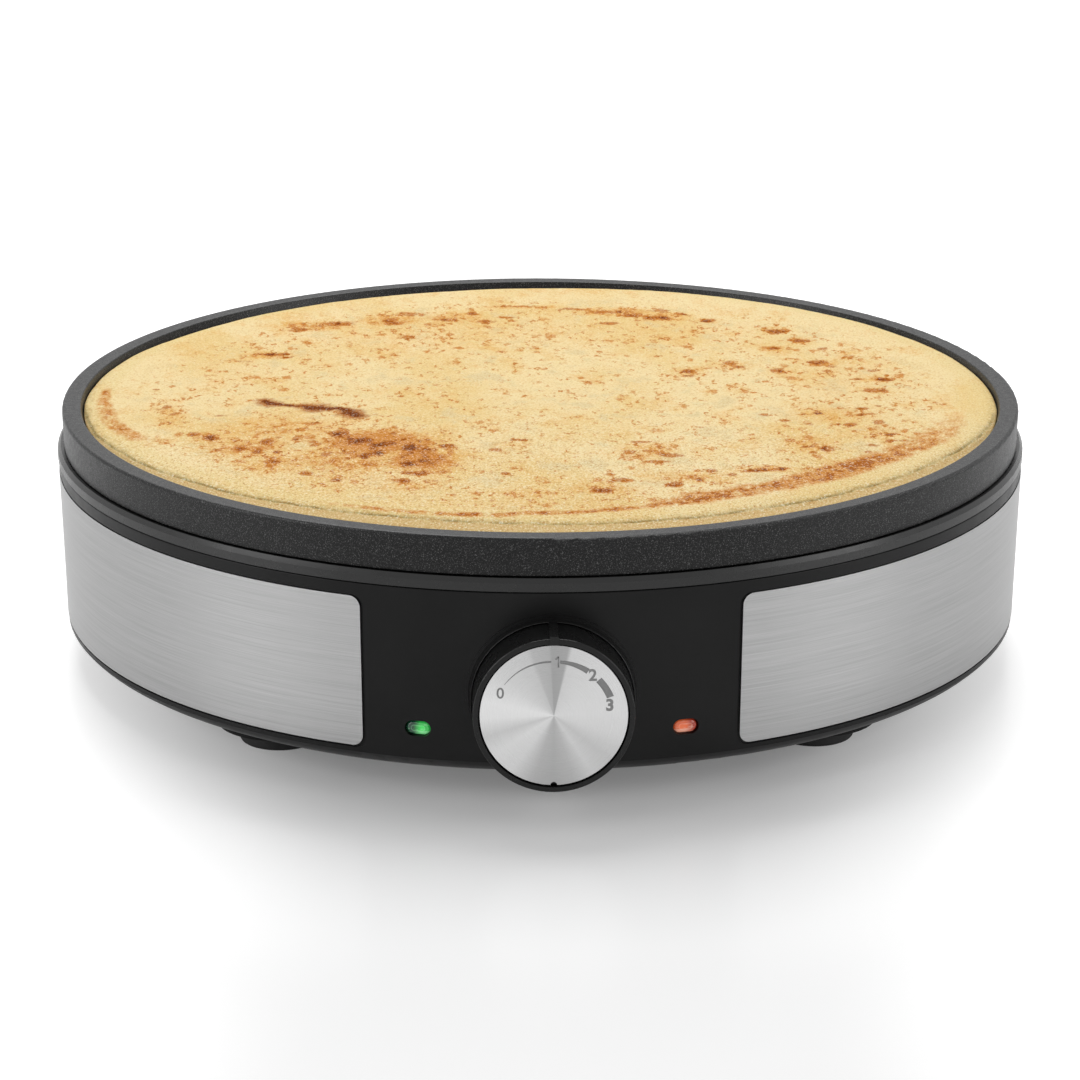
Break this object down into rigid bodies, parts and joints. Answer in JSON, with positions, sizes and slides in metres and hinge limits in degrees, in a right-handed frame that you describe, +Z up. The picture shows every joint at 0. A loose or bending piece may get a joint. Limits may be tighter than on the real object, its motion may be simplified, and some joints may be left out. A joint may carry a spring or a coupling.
{
  "type": "electric crepe maker",
  "caption": "Round electric crepe maker with a rimmed baking plate, steel side panels, a front dial knob and a baked crepe on top.",
  "frame": {"origin": "on the body's vertical axis, at the level that the foot pads stand on", "axes": "+Z up out of the baking plate, -Y towards the knob, +X to the right of someone facing the knob"},
  "size_m": [0.3236, 0.3551, 0.0854],
  "materials": {
    "plate_coating": "non-stick coated cast aluminium, satin black with fine pale specks",
    "crepe_batter": "baked crepe, matte pale gold with a browned lace pattern",
    "element_sheath": "dull oxidised steel sheath",
    "ceramic_beads": "plain white ceramic",
    "steel_pins": "bright plated steel",
    "zinc_sheet": "zinc-plated sheet steel",
    "zinc_screws": "zinc-plated screws",
    "reflector_sheet": "aluminised sheet, mill finish",
    "ring_black": "black heat-proof plastic, satin gloss",
    "housing_black": "black heat-proof plastic, satin gloss",
    "panel_steel": "stainless sheet, finely brushed along its length",
    "base_black": "black plastic, fine matte",
    "knob_black": "black plastic, satin gloss",
    "carrier_black": "black moulded plastic",
    "dial_aluminium": "spun aluminium face with grey printed numbers",
    "brass_turned": "turned brass",
    "brass_leaf": "spring brass strip",
    "bimetal_sheet": "plain bimetal strip",
    "sleeve_plastic": "milky insulating sleeve",
    "lens_green": "clear green lens",
    "lens_orange": "clear orange lens",
    "bulb_glass": "small clear neon bulb",
    "gland_rubber": "black rubber, fine matte",
    "block_white": "white moulded plastic",
    "wire_brown": "brown insulation",
    "wire_blue": "blue insulation",
    "wire_green_yellow": "green insulation with a yellow stripe",
    "wire_white": "white heat-proof insulation",
    "foot_rubber": "black rubber, matte"
  },
  "bodies": {
    "base": {"cooking_plate": "plate_coating", "heating_element": "element_sheath", "element_beads": "ceramic_beads", "element_pins": "steel_pins", "pin_connectors": "steel_pins", "element_clamps": "zinc_sheet", "clamp_screws": "zinc_screws", "reflector_plate": "reflector_sheet", "plate_washers": "zinc_sheet", "plate_screws": "zinc_screws", "top_ring": "ring_black", "ring_screws": "zinc_screws", "housing": "housing_black", "right_side_panel": "panel_steel", "left_side_panel": "panel_steel", "base_pan": "base_black", "base_screws": "zinc_screws", "dial_carrier": "carrier_black", "dial_face": "dial_aluminium", "dial_screws": "zinc_screws", "thermostat_bracket": "zinc_sheet", "bracket_screws": "zinc_screws", "thermostat_bush": "brass_turned", "thermostat_nut": "brass_turned", "stack_insulators": "ceramic_beads", "stack_rivet": "steel_pins", "arm_terminal": "brass_leaf", "fixed_contact": "brass_leaf", "bimetal_strip": "bimetal_sheet", "terminal_sleeves": "sleeve_plastic", "power_lamp_lens": "lens_green", "heat_lamp_lens": "lens_orange", "power_lamp_bulb": "bulb_glass", "heat_lamp_bulb": "bulb_glass", "lamp_holders": "carrier_black", "cord_gland": "gland_rubber", "gland_nut": "carrier_black", "terminal_block": "block_white", "terminal_screws": "zinc_screws", "thermal_fuse": "steel_pins", "fuse_clip": "ceramic_beads", "fuse_wire": "wire_brown", "supply_wire": "wire_brown", "neutral_wire": "wire_blue", "earth_wire": "wire_green_yellow", "element_wire": "wire_brown", "power_lamp_lead": "wire_white", "heat_lamp_lead": "wire_white", "earth_tag": "brass_leaf", "earth_screw": "zinc_screws", "foot_pad_front_left": "foot_rubber", "foot_pad_front_right": "foot_rubber", "foot_pad_rear_left": "foot_rubber", "foot_pad_rear_right": "foot_rubber"},
    "knob": {"control_knob": "knob_black", "thermostat_shaft": "brass_turned"},
    "pusher": {"thermostat_pusher": "ceramic_beads"},
    "arm": {"contact_arm": "brass_leaf"},
    "crepe": {"crepe": "crepe_batter"}
  },
  "joints": [
    {"name": "knob_turn", "type": "hinge", "parent": "base", "child": "knob", "pos_m": [0, -0.17769, 0.0356], "axis": [0, 1, 0], "range_deg": [-64.6, 78.9]},
    {"name": "pusher_slide", "type": "slide", "parent": "base", "child": "pusher", "axis": [0, 1, 0], "range_m": [-0.00027, 0.00033]},
    {"name": "contact_arm_flex", "type": "slide", "parent": "base", "child": "arm", "axis": [0, 1, 0], "range_m": [-0.00027, 0.00033]},
    {"name": "crepe_lift", "type": "slide", "parent": "base", "child": "crepe", "axis": [0, 0, 1], "range_m": [0, 0.12]}
  ],
  "couplings": [
    {"joint": "pusher_slide", "follows": "knob_turn", "m_per_rad": 0.00023873},
    {"joint": "contact_arm_flex", "follows": "knob_turn", "m_per_rad": 0.00023873}
  ]
}
